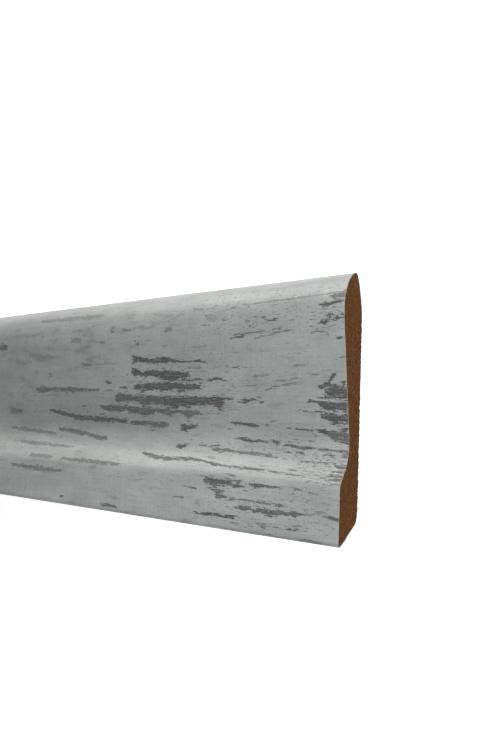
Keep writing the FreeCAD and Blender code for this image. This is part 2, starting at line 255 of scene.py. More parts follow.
        (1.12, (12.2, 43.3, 1.0), (10.8, 43.2, 1.2), (9.8, 43.0, 0.8), (8.4, 42.3, 1.7), (7, 41.8, 2.4),
         (5.5, 41.7, 2.4), (4, 41.7, 2.3), (2, 41.7, 2.4), (0, 41.6, 2.6)),
        (1.15, (15.2, 40.5, 0.5), (14, 40.2, 0.5), (12.5, 39.9, 0.6), (11, 39.7, 0.5)),
        (1.12, (10.2, 40.3, 0.7), (9.2, 40.1, 1.0), (8.2, 39.8, 0.6)),
        (1.15, (8.3, 38.7, 1.5), (7.3, 38.6, 2.2), (5.5, 38.4, 2.5), (4, 38.2, 2.7), (2, 38.1, 2.7),
         (0, 38.0, 2.9)),
        (1.15, (5.2, 36.8, 1.3), (3.6, 36.8, 1.4), (2.8, 36.3, 0.8)),
        (1.15, (2.1, 35.1, 0.8), (0, 35.1, 0.9)),
        (1.1, (9.8, 34.3, 0.8), (8.2, 34.3, 1.2), (7, 34.2, 1.4), (5.5, 34.1, 1.0)),
        (0.98, (6.6, 33.8, 1.4), (5.5, 33.5, 2.4), (3.8, 33.2, 2.8), (2, 32.6, 3.4), (0, 32.1, 3.8)),
        (1.12, (7.9, 71.8, 0.8), (6.7, 71.4, 1.3), (5.3, 71.4, 1.2), (4, 71.7, 0.9), (2.9, 72.1, 0.9),
         (0, 72.6, 0.9)),
        (0.85, (4.5, 73.8, 1.0), (2.5, 74.0, 2.2), (0, 74.4, 3.2)),
        (1.12, (5.3, 67.6, 2.0), (4.6, 67.8, 2.6), (3.9, 67.5, 2.1)),
        (1.15, (7.1, 66.7, 1.0), (6, 66.2, 1.2), (4.6, 66.8, 1.2)),
        (1.12, (2.9, 66.9, 1.2), (2.2, 67.2, 1.6), (1.6, 67.9, 2.0)),
        (1.15, (1.2, 68.3, 1.0), (0, 67.7, 1.4)),
        (0.85, (10.6, 63.4, 0.5), (9, 63.9, 0.5), (6, 63.5, 0.5)),
        (1.12, (2.9, 61.4, 0.6), (0.4, 61.4, 0.6)),
        (1.12, (1.6, 55.8, 0.5), (0, 55.7, 0.5)),
    ),
    "hairlines": (
        (0.68, (26.3, 46.7, 0.5), (24, 47.4, 0.5), (22, 47.8, 0.5), (19, 48.2, 0.5), (15.4, 48.8, 0.5)),
        (0.68, (22.9, 49.4, 0.5), (20.5, 49.5, 0.5), (18, 49.9, 0.5), (15.5, 50.2, 0.5)),
        (0.58, (31.3, 50.9, 0.5), (25.4, 51.2, 0.5)),
        (0.48, (34.6, 48.0, 0.5), (30.2, 47.9, 0.5)),
        (0.78, (17.3, 53.6, 0.5), (16, 53.9, 0.5), (14.5, 54.1, 0.5), (13, 53.9, 0.5), (12.3, 53.6, 0.5)),
        (0.78, (10.7, 51.0, 0.5), (9, 51.2, 0.5)),
        (0.78, (38.2, 54.2, 0.6), (36.3, 54.0, 0.6)),
        (0.58, (34.5, 53.9, 0.5), (33.6, 53.9, 0.5)),
        (0.98, (38.8, 63.4, 0.5), (37, 63.7, 0.6), (35, 63.5, 0.6), (33.4, 63.9, 0.5)),
        (0.78, (37.5, 64.6, 0.5), (34, 64.5, 0.5), (30.6, 64.7, 0.5), (26, 64.8, 0.5)),
        (0.68, (30.2, 62.9, 0.5), (26.2, 63.2, 0.5)),
        (0.78, (25.2, 63.3, 0.5), (23, 64.0, 0.5), (21, 64.3, 0.5), (19, 64.6, 0.5), (17, 64.8, 0.5)),
        (0.78, (23, 65.4, 0.5), (20.6, 65.4, 0.5)),
        (0.98, (25.6, 68.5, 0.5), (24.8, 68.3, 0.6), (23.5, 68.2, 0.7), (21.6, 68.3, 0.7)),
        (0.78, (27.7, 69.4, 0.5), (25.9, 69.4, 0.5)),
        (0.88, (30.2, 69.4, 0.6), (29, 69.4, 0.5)),
        (0.78, (33, 68.7, 0.5), (31.8, 68.6, 0.5)),
        (0.78, (31.8, 67.0, 0.6), (30.9, 66.9, 0.6)),
        (0.78, (41.5, 69.5, 0.5), (39.7, 69.5, 0.5)),
        (0.68, (49.3, 68.4, 0.6), (48, 68.4, 0.6)),
        (0.68, (49, 71.8, 0.6), (47.7, 71.6, 0.6)),
        (0.58, (53.8, 61.3, 0.5), (48.4, 61.3, 0.5)),
        (0.78, (39.7, 73.3, 0.5), (38, 73.6, 0.6), (37, 73.6, 0.5)),
        (0.58, (55, 74.1, 0.6), (53, 74.5, 0.6), (50.3, 74.2, 0.6)),
        (0.58, (35.2, 74.2, 0.5), (30.2, 74.2, 0.5), (26, 74.4, 0.5), (20, 74.5, 0.5), (14, 74.6, 0.5),
         (8, 74.8, 0.5), (0, 74.9, 0.5)),
    ),
}
# The height across a streak's edge over which it goes from worn off to whole: this for a thin streak, and
# up to this for a thick one. Past its ends it goes over this length
STREAK_EDGE = 0.9
THICK_STREAK_EDGE = 2.6
STREAK_FADE = 2.6
# How worn the print counts as: where it is whole, at a streak's edge, and inside a streak
WHOLE = -0.5
HALF_WORN = 0.5
WORN_OFF = 1.0
# How much a streak's line and height waver, and over what length. In the noise that this comes from, the
# streaks lie apart, and so do lines and heights
STREAK_WAVER = 0.16
STREAK_SWELL = 0.24
WAVER_LENGTH = 2.0
NOISE_APART = 3.7
LINE_LAYER = 0
HEIGHT_LAYER = 9

# Patches near the sawn end where fine marks or soft smudges gather, and patches of painted light and shade
# that make the paint paler or darker: how densely or strongly, then the patch's middle and its half sizes,
# along the board and up the face
PATCHES = {
    "flecked": (
        (1.0, (4, 23), (12, 7)),
        (0.9, (20, 29), (8, 4)),
        (0.7, (3, 34), (8, 3)),
        (0.6, (24, 9), (26, 9)),
        (0.5, (30, 29), (24, 4)),
        (0.55, (26, 69), (24, 6)),
        (0.5, (26, 77), (34, 4)),
        (0.9, (5, 67), (8, 5)),
        (0.6, (60, 48), (36, 14)),
        (0.7, (42, 43), (12, 6)),
        (0.4, (120, 40), (50, 14)),
    ),
    "smudged": (
        (0.8, (118, 65), (50, 12)),
        (0.8, (74, 69), (24, 7)),
        (0.5, (135, 46), (36, 16)),
        (0.5, (125, 22), (50, 9)),
        (0.4, (55, 73), (30, 6)),
    ),
    # Painted light: the toe paler along the board, and a painted highlight on the slope
    "painted_light": (
        (1.0, (125, 9), (105, 10)),
        (0.7, (40, 5), (16, 5)),
        (0.8, (60, 21), (30, 4)),
    ),
    # Painted shade: the face, the top and the toe at the sawn end darker, where less light falls
    "shaded": (
        (0.5, (4, 8), (14, 9)),
        (1.0, (112, 39), (64, 8)),
        (0.9, (135, 74), (42, 6)),
        (0.6, (25, 82), (35, 3)),
    ),
}
# How densely they lie everywhere else, and the square of how many half sizes a patch reaches out
PLAIN_DENSITY = 0.2
PATCH_REACH = 1.4

# Stretched patterns of the print: length along the board, height up the face, and octaves of finer detail
PRINT_GRAINS = {
    "jags": (2.8, 0.42, 3.0),
    "teeth": (0.8, 2.0, 2.0),
    "grit": (0.55, 0.55, 2.0),
    "strands": (4.5, 0.45, 3.0),
    "hairs": (11.0, 0.45, 2.0),
    "dashes": (2.2, 0.4, 2.0),
    "smudges": (10.0, 3.4, 3.0),
    "streaks": (30.0, 1.9, 3.0),
    "clusters": (120.0, 17.0, 1.0),
    "brushing": (55.0, 0.9, 2.0),
    "threads": (0.5, 9.0, 1.0),
    "mottle": (9.0, 5.0, 3.0),
    "clouds": (34.0, 15.0, 2.0),
}
# How much three of them break up the edges of the streaks, and how far to either side an edge fades
RAGGEDNESS = {"jags": 1.6, "teeth": 0.4, "grit": 0.35}
EDGE_FADE = 0.07
# How much the grit breaks up the strands of paint that are left in the streaks
STRAND_GRIT = 0.6
# Away from the sawn end the streaks come in clusters: how much these add to the pattern of the streaks
CLUSTERING = 0.55
# The marks that lie over the paint: the patches they gather in, how much denser they are there, the levels
# of their pattern between which they come up, and their strength
MARKS = {
    "hairs": ("flecked", 0.03, 0.68, 0.78, 0.38),
    "dashes": ("flecked", 0.15, 0.71, 0.79, 0.7),
    "smudges": ("smudged", 0.18, 0.66, 0.90, 0.4),
}
# How far the patterns lighten and darken the paint, and how far painted light and painted shade do
SHADES = {"grit": 0.11, "threads": 0.05, "brushing": 0.04, "mottle": 0.08, "clouds": 0.12}
PATCH_SHADES = {"painted_light": 0.12, "shaded": -0.13}
# How much the brush marks stand up beside the streaks
BRUSH_RELIEF = 0.4
# Where the listed streaks give way to those of the pattern, and how far they are measured
HAND_PLACED_TO = 158.0
PATTERN_FROM = 184.0
MEASURED_TO = 194.0

# Sizes of the MDF's fibres and blotches, and of the paper's fibres. Real fibres are 0.2 mm thick or less,
# and are drawn coarser so that they show
MDF_FIBRE = 0.7 * MM
MDF_BLOTCH = 3.2 * MM
PAPER_FIBRE = 0.5 * MM

WHITE = (1.0, 1.0, 1.0)
# The floor: its size, how far it lies below the board, and how much it shines by itself to a camera and in
# reflections
FLOOR_SIZE = 14.0
FLOOR_DROP = 0.05 * MM
FLOOR_SHINE = 0.74
# Lamps: name, place, the point it faces, its two sizes, its power in watts, the spread of its light, tint
LAMPS = (
    ("long_softbox", (0.3, 1.5, 1.0), (0.3, 0, 0), (3.6, 0.9), 5.3, 180, WHITE),
    ("low_softbox", (0.9, 1.0, 0.28), (0.9, 0, 0), (1.2, 0.3), 8.3, 180, (1.0, 0.95, 0.91)),
    ("far_softbox", (-0.15, 0, 0.5), (-0.15, 0, 0), (1.9, 0.3), 1.5, 50, WHITE),
    ("end_lamp", (1.3, 0, 0.6), (1.25, 0, 0), (0.12, 0.12), 0.178, 50, WHITE),
    ("far_end_lamp", (-1.3, 0, 0.6), (-1.25, 0, 0), (0.12, 0.12), 0.178, 50, WHITE),
)
# The nearest that the camera sees
NEAREST_SEEN = 5 * MM


def linear(hex_colour):
    """An sRGB hex colour as linear red, green and blue."""
    shares = [int(hex_colour[i:i + 2], 16) / 255 for i in (1, 3, 5)]
    return [share / 12.92 if share <= 0.04045 else ((share + 0.055) / 1.055) ** 2.4 for share in shares]


def measure(name, size, description):
    """A size that a user can change, given in metres."""
    return FloatProperty(name=name, default=size, precision=5, unit="LENGTH", description=description)


def colour(name, hex_colour, description):
    """A colour that a user can change."""
    return FloatVectorProperty(name=name, default=linear(hex_colour), size=3, min=0, max=1, subtype="COLOR",
                               description=description)


class SkirtingSection(bpy.types.PropertyGroup):
    """Sizes of the board. Heights are measured up from its floor edge, and depths out from its back."""
    length: measure("Length", CORE_HIGH.x - CORE_LOW.x, "Length of the board")
    height: measure("Height", round(FOIL_HIGH.y - FOIL_LOW.y, 4), "Height from floor edge to top edge")
    thickness: measure("Thickness", round(FOIL_HIGH.z, 5), "Thickness at the bulge, foil included")
    foil: measure("Foil", 0.3 * MM, "Thickness of the printed foil")
    toe_height: measure("Toe height", 15.2 * MM, "Height of the middle of the toe's round shoulder")
    toe_setback: measure("Toe setback", 0.4 * MM, "How far the toe lies behind the bulge")
    toe_corner: measure("Toe corner", 1.0 * MM, "Radius of the toe's floor edge")
    shoulder: measure("Shoulder", 3.3 * MM, "Radius of the round above the toe")
    slope_angle: FloatProperty(name="Slope angle", default=math.radians(42), subtype="ANGLE",
                               description="How far the slope above the toe turns away from the face")
    neck_height: measure("Neck height", 28.0 * MM, "Height of the thinnest place of the board")
    neck_thickness: measure("Neck thickness", 9.1 * MM, "Thickness of the board at its neck")
    bulge_drop: measure("Bulge drop", 13.3 * MM, "How far the thickest place lies below the top edge")
    bulge_radius: measure("Bulge radius", 28.0 * MM, "Radius of the face's bulge")
    tip_depth: measure("Tip depth", 6.0 * MM, "Depth of the top edge")
    tip_radius: measure("Tip radius", 0.6 * MM, "Radius of the top edge")
    flat_back_drop: measure("Back drop", 15.6 * MM, "How far the flat back ends below the top edge")
    heel_height: measure("Heel height", 9.0 * MM, "Height of the middle of the round heel")
    heel_radius: measure("Heel radius", 4.8 * MM, "Radius of the heel")
    foil_under_toe: measure("Foil under toe", 7.0 * MM, "How far the foil runs in under the toe")
    foil_behind_tip: measure("Foil behind tip", 3.5 * MM, "How far the foil runs down behind the tip")
    saw_tear: measure("Saw tear", 0.14 * MM, "How deep the saw tears the ends")
    back_chips: measure("Back chips", 1.5 * MM, "How deep the saw chips the back edges of the ends")


class SkirtingFinish(bpy.types.PropertyGroup):
    """Colours of the print and of the board."""
    paint: colour("Paint", "#9ba09f", "The pale paint of the print")
    bare_wood: colour("Bare wood", "#3e3e3e", "The weathered wood where the painted look is worn off")
    paper: colour("Paper", "#a0968a", "The cut edge and the glued side of the foil")
    mdf: colour("MDF", "#6d4520", "The sawn and milled MDF")
    mdf_dark: colour("MDF dark", "#472b15", "The dark fibres of the MDF")
    mdf_pale: colour("MDF pale", "#945f30", "The pale fibres of the MDF")


class SkirtingStage(bpy.types.PropertyGroup):
    """The studio: camera, floor and lamps."""
    lens: FloatProperty(name="Lens", default=24.54, unit="CAMERA", description="Focal length in millimetres")
    camera: FloatVectorProperty(name="Camera", default=(1.25029, -0.01242, 0.15105), subtype="TRANSLATION",
                                unit="LENGTH", description="Place of the camera")
    turns: FloatVectorProperty(name="Turns", subtype="EULER", unit="ROTATION",
                               default=[math.radians(turn) for turn in (7.31, 30.79, 2.97)],
                               description="Pitch, yaw and roll from a camera that faces the board squarely")
    floor: colour("Floor", "#f2f2f2", "The floor that the board lies on")
    ambient: FloatProperty(name="Ambient", default=0.185, min=0,
                           description="Level of the light from all round")


class Round:
    """One arc of the outline: its centre, and its radius, negative where the board is hollow."""

    def __init__(self, height, depth, radius):
        self.centre = Vector((0, height, depth))
        self.radius = radius

    def point(self, normal):
        """The point of the arc where the board's surface faces along normal."""
        return self.centre + normal * self.radius


def shared_normal(first, second):
    """The way that the surface faces where it runs from one arc to the next."""
    gap = second.centre - first.centre
    along = gap.normalized()
    across = Vector((0, -along.z, along.y))
    sine = max(-1.0, min(1.0, (first.radius - second.radius) / gap.length))
    return along * sine + across * math.sqrt(1 - sine * sine)


def touching_radius(rise, depth, tip_radius):
    """Radius of an arc that leaves a flat face and touches the tip's arc, rise and depth away."""
    return (rise * rise + depth * depth - tip_radius * tip_radius) / (2 * (depth - tip_radius))


def outline_rounds(section, skin):
    """The arcs of the section from the toe's floor edge up the face, over the tip and down the back.

    skin is the thickness that is laid on the milled core.
    """
    floor_edge = -section.height / 2
    front = section.thickness - section.foil
    toe_front = front - section.toe_setback
    tip = section.height - section.foil - section.tip_radius
    bulge = section.height - section.bulge_drop
    back_top = section.height - section.flat_back_drop
    ogive = touching_radius(tip - bulge, front - section.tip_depth, section.tip_radius)
    crown = touching_radius(tip - back_top, section.tip_depth, section.tip_radius)
    # The hollow touches both the slope and the board's thinnest place
    slope = Vector((math.sin(section.slope_angle), math.cos(section.slope_angle)))
    shoulder = Vector((section.toe_height, toe_front - section.shoulder))
    neck = Vector((section.neck_height, section.neck_thickness - section.foil))
    hollow = ((neck - shoulder).dot(slope) - section.shoulder) / (1 - slope.y)
    sizes = (
        (section.toe_corner + section.foil, toe_front - section.toe_corner, section.toe_corner),
        (shoulder.x, shoulder.y, section.shoulder),
        (neck.x, neck.y + hollow, -hollow),
        (bulge, front - section.bulge_radius, section.bulge_radius),
        (bulge, front - ogive, ogive),
        (tip, section.tip_depth, section.tip_radius),
        (back_top, crown, crown),
        (section.heel_height, section.heel_radius, section.heel_radius),
    )
    return [Round(floor_edge + height, depth, radius + skin) for height, depth, radius in sizes]


def put_point(name, place):
    """Starts a piece as a single vertex, in edit mode: a plane that is merged into its middle."""
    bpy.ops.object.select_all(action="DESELECT")
    bpy.ops.mesh.primitive_plane_add(size=MM, location=place)
    piece = bpy.context.object
    piece.name = name
    piece.data.name = name
    bpy.ops.object.transform_apply(location=True)
    bpy.ops.object.mode_set(mode="EDIT")
    bpy.ops.mesh.merge(type="CENTER")
    return piece


def draw_arc(arc, enter, leave, step):
    """Spins the last vertex round an arc while the surface turns from one normal to the other."""
    turn = math.atan2(enter.cross(leave).x, enter.dot(leave))
    steps = max(FEWEST_STEPS, math.ceil(abs(turn * arc.radius) / step))
    centre = (CORE_LOW.x, arc.centre.y, arc.centre.z)
    # turn counts anticlockwise about X, and a spin counts clockwise
    bpy.ops.mesh.spin(steps=steps, angle=-turn, center=centre, axis=(1, 0, 0))


def extrude(way, steps):
    """Extrudes what is selected along a straight way, in equal steps."""
    for _ in range(steps):
        bpy.ops.mesh.extrude_region_move(TRANSFORM_OT_translate={"value": way / steps})


def draw_run(way, step):
    """Draws a straight run of the outline, in steps of at most a given length."""
    extrude(way, math.ceil(way.length / step))


def draw_outline(rounds, normals, step):
    """Draws each arc, and the straight run to the next one where they don't touch."""
    for number, arc in enumerate(rounds):
        enter, leave = normals[number], normals[number + 1]
        draw_arc(arc, enter, leave, step)
        if number + 1 < len(rounds):
            run = rounds[number + 1].point(leave) - arc.point(leave)
            if run.length > TOUCHING:
                draw_run(run, step)


def apply_modifier(piece, kind, **settings):
    """Adds a modifier with its settings and applies it."""
    bpy.ops.object.modifier_add(type=kind)
    modifier = piece.modifiers[-1]
    for name, value in settings.items():
        setattr(modifier, name, value)
    bpy.ops.object.modifier_apply(modifier=modifier.name)


def clouds(name, size):
    """A cloudy texture, with clouds of a given size."""
    texture = bpy.data.textures.new(name, "CLOUDS")
    texture.noise_scale = size
    texture.noise_depth = 2
    return texture


def press_in(piece, texture, shares, direction, depth):
    """Presses vertices in by a texture, each by its share of the depth."""
    group = piece.vertex_groups.new(name="pressed_in")
    for index, share in shares.items():
        group.add([index], share, "REPLACE")
    apply_modifier(piece, "DISPLACE", texture=texture, texture_coords="LOCAL", direction=direction,
                   vertex_group=group.name, mid_level=0.0, strength=depth)
    piece.vertex_groups.clear()


def tear_ends(piece, depth):
    """Roughens the sawn ends inwards, as deep as the saw's teeth tear them."""
    tear = clouds(f"{piece.name}_tear", TEAR_SIZE)
    for end, way in ((CORE_HIGH.x, -1), (CORE_LOW.x, 1)):
        shares = {v.index: 1.0 for v in piece.data.vertices if abs(v.co.x - end) < MERGED}
        press_in(piece, tear, shares, "X", way * depth)


def chip_back_edges(piece, depth):
    """Breaks small chips out of the back edges of the sawn ends."""
    chips = clouds("back_chips", CHIP_SIZE)
    # Only the highest clouds chip the edge, and nothing stands out from it
    chips.contrast = 2.0
    chips.intensity = 0.7
    chips.use_clamp = True
    shares = {}
    for vertex in piece.data.vertices:
        from_end = min(CORE_HIGH.x - vertex.co.x, vertex.co.x - CORE_LOW.x)
        share = 1 - (vertex.co.z - CORE_LOW.z) / CHIP_REACH
        if from_end < CHIP_LENGTH / 2 and share > 0:
            shares[vertex.index] = share
    press_in(piece, chips, shares, "Z", depth)


def make_core(section, finish):
    """The milled core: its outline is drawn, filled, pulled to length and cut into a grid at its ends."""
    rounds = outline_rounds(section, 0.0)
    normals = [shared_normal(*pair) for pair in zip(rounds[-1:] + rounds[:-1], rounds)]
    normals.append(normals[0])
    start = rounds[0].point(normals[0])
    piece = put_point("milled_mdf_core", (CORE_LOW.x, start.y, start.z))
    draw_outline(rounds, normals, PLAIN_STEP)
    draw_run(start - rounds[-1].point(normals[-1]), PLAIN_STEP)
    bpy.ops.mesh.select_all(action="SELECT")
    bpy.ops.mesh.remove_doubles(threshold=MERGED)
    bpy.ops.mesh.edge_face_add()
    extrude(Vector((section.length, 0, 0)), 1)
    cuts = (
        (Vector((1, 0, 0)), (CORE_LOW.x + CHIP_LENGTH, CORE_HIGH.x - CHIP_LENGTH)),
        (Vector((0, 1, 0)), np.arange(CORE_LOW.y + SAW_GRID / 2, CORE_HIGH.y, SAW_GRID)),
        (Vector((0, 0, 1)), np.arange(CORE_LOW.z + SAW_GRID / 2, CORE_HIGH.z, SAW_GRID)),
    )
    for normal, places in cuts:
        for place in places:
            bpy.ops.mesh.select_all(action="SELECT")
            bpy.ops.mesh.bisect(plane_co=normal * place, plane_no=normal)
    bpy.ops.mesh.select_all(action="SELECT")
    bpy.ops.mesh.remove_doubles(threshold=MERGED)
    bpy.ops.mesh.normals_make_consistent(inside=False)
    bpy.ops.object.mode_set(mode="OBJECT")
    tear_ends(piece, section.saw_tear)
    chip_back_edges(piece, section.back_chips)
    bpy.ops.object.shade_smooth_by_angle(angle=SHARP_EDGE)
    piece.data.materials.append(milled_mdf(finish))
    return piece


def make_foil(section, finish):
    """The wrapped foil: an open outline from under the toe to behind the tip, pulled to length, thickened."""
    rounds = outline_rounds(section, section.foil)
    heel, toe_corner = rounds[-1], rounds[0]
    underside = shared_normal(heel, toe_corner)
    back, front = heel.point(underside), toe_corner.point(underside)
    reach = (section.thickness - section.foil_under_toe - back.z) / (front.z - back.z)
    start = back.lerp(front, reach)
    rounds = rounds[:-1]
    normals = [underside] + [shared_normal(*pair) for pair in zip(rounds, rounds[1:])]
    crown = rounds[-1]
    outward = (section.tip_depth - section.foil_behind_tip - crown.centre.z) / crown.radius
    normals.append(Vector((0, math.sqrt(1 - outward * outward), outward)))
    piece = put_point("printed_decor_foil", (CORE_LOW.x, start.y, start.z))
    draw_run(front - start, PRINT_STEP)
    draw_outline(rounds, normals, PRINT_STEP)
    bpy.ops.object.mode_set(mode="OBJECT")
    measure_up_the_face(piece.data)
    bpy.ops.object.mode_set(mode="EDIT")
    bpy.ops.mesh.select_all(action="SELECT")
    for stretch, spans in FOIL_STRETCHES:
        extrude(Vector((stretch, 0, 0)), spans)
    bpy.ops.mesh.select_all(action="SELECT")
    bpy.ops.mesh.flip_normals()
    bpy.ops.object.mode_set(mode="OBJECT")
    place_print(piece.data)
    for material in (printed_foil(finish), foil_paper(finish)):
        piece.data.materials.append(material)
    apply_modifier(piece, "SOLIDIFY", thickness=section.foil, offset=-1.0, use_even_offset=True,
                   material_offset=1, material_offset_rim=1)
    tear_ends(piece, section.saw_tear)
    bpy.ops.object.shade_smooth_by_angle(angle=SHARP_EDGE)
    return piece


def measure_up_the_face(mesh):
    """Stores how far each vertex of the outline lies up the face, in millimetres from its lowest one."""
    beside = {vertex.index: [] for vertex in mesh.vertices}
    for edge in mesh.edges:
        for here, there in (edge.vertices, reversed(edge.vertices)):
            beside[here].append(there)
    here = next(i for i, near in beside.items() if len(near) == 1 and mesh.vertices[i].co.y < 0)
    order = [here]
    while len(order) < len(beside):
        here = next(i for i in beside[here] if i not in order[-2:])
        order.append(here)
    places = np.array([mesh.vertices[i].co for i in order])
    up = np.concatenate([[0], np.cumsum(np.linalg.norm(np.diff(places, axis=0), axis=1))])
    heights = np.zeros(len(order), np.float32)
    heights[order] = (up - up[places[:, 1].argmin()]) / MM
    mesh.attributes.new("up_the_face", "FLOAT", "POINT").data.foreach_set("value", heights)


def place_print(mesh):
    """Stores each vertex's place on the print, and how worn the print is there."""
    count = len(mesh.vertices)
    up = np.zeros(count, np.float32)
    mesh.attributes["up_the_face"].data.foreach_get("value", up)
    places = np.zeros(count * 3, np.float32)
    mesh.vertices.foreach_get("co", places)
    along = (CORE_HIGH.x - places[0::3]) / MM
    on_print = np.column_stack([along, up, np.zeros(count)]).astype(np.float32)
    mesh.attributes.new("print_place", "FLOAT_VECTOR", "POINT").data.foreach_set("vector", on_print.ravel())
    near = along < MEASURED_TO
    worn = np.full(count, WHOLE, np.float32)
    strength = np.ones(count, np.float32)
    worn[near], strength[near] = worn_streaks(along[near], up[near])
    measured = {"worn": worn, "strength": strength}
    for name, patches in PATCHES.items():
        measured[name] = gathered(patches, along, up).astype(np.float32)
    for name, values in measured.items():
        mesh.attributes.new(name, "FLOAT", "POINT").data.foreach_set("value", values)


def wander(columns, number, layer):
    """Smooth noise along a streak, its own for each streak and for its line and its height."""
    return np.array([noise.noise((at / WAVER_LENGTH, number * NOISE_APART, layer)) for at in columns])


def worn_streaks(along, up):
    """How worn the print is at places on it, and the strength of the streak there."""
    worn = np.full(len(along), WHOLE)
    strengths = np.ones(len(along))
    columns, column_of = np.unique(np.round(along, 2), return_inverse=True)
    every = [streak for group in STREAKS.values() for streak in group]
    for number, (strength, *places) in enumerate(every):
        at, height, thick = np.array(sorted(places)).T
        waver = STREAK_WAVER * wander(columns, number, LINE_LAYER)
        swell = STREAK_SWELL * wander(columns, number, HEIGHT_LAYER)
        half = np.interp(columns, at, thick) / 2 * (1 + swell)
        line = np.interp(columns, at, height) + waver
        past_end = np.maximum(at[0] - columns, columns - at[-1])
        fade = (HALF_WORN - past_end / STREAK_FADE)[column_of]
        softness = np.clip(half * 2, STREAK_EDGE, THICK_STREAK_EDGE)[column_of]
        here = np.minimum(HALF_WORN + (half[column_of] - np.abs(up - line[column_of])) / softness, fade)
        strengths[here > worn] = strength
        worn = np.clip(np.maximum(worn, here), WHOLE, WORN_OFF)
    return worn, strengths


def gathered(patches, along, up):
    """How densely marks lie at places on the print, and how strongly painted light and shade lie there."""
    dense = np.full(len(along), PLAIN_DENSITY)
    for density, (middle, height), (half_length, half_height) in patches:
        reach = ((along - middle) / half_length) ** 2 + ((up - height) / half_height) ** 2
        dense = np.maximum(dense, density * np.clip(PATCH_REACH - reach, 0, 1))
    return dense


def add(tree, kind, inputs=(), **settings):
    """Adds a node with its settings, and gives its inputs, by name or number, values or links."""
    made = tree.nodes.new(kind)
    for name, value in settings.items():
        setattr(made, name, value)
    for name, value in dict(inputs).items():
        socket = made.inputs[name] if isinstance(name, int) else next(
            s for s in made.inputs if s.name == name and s.enabled)
        if isinstance(value, bpy.types.Node):
            value = next(s for s in value.outputs if s.enabled)
        if isinstance(value, bpy.types.NodeSocket):
            tree.links.new(value, socket)
        else:
            socket.default_value = value
    return made


def new_material(name):
    """An empty material, and its node tree."""
    material = bpy.data.materials.new(name)
    material.use_nodes = True
    material.node_tree.nodes.clear()
    return material, material.node_tree


def rgba(colour_value):
    """A colour as a node socket takes it."""
    return (*colour_value, 1.0)


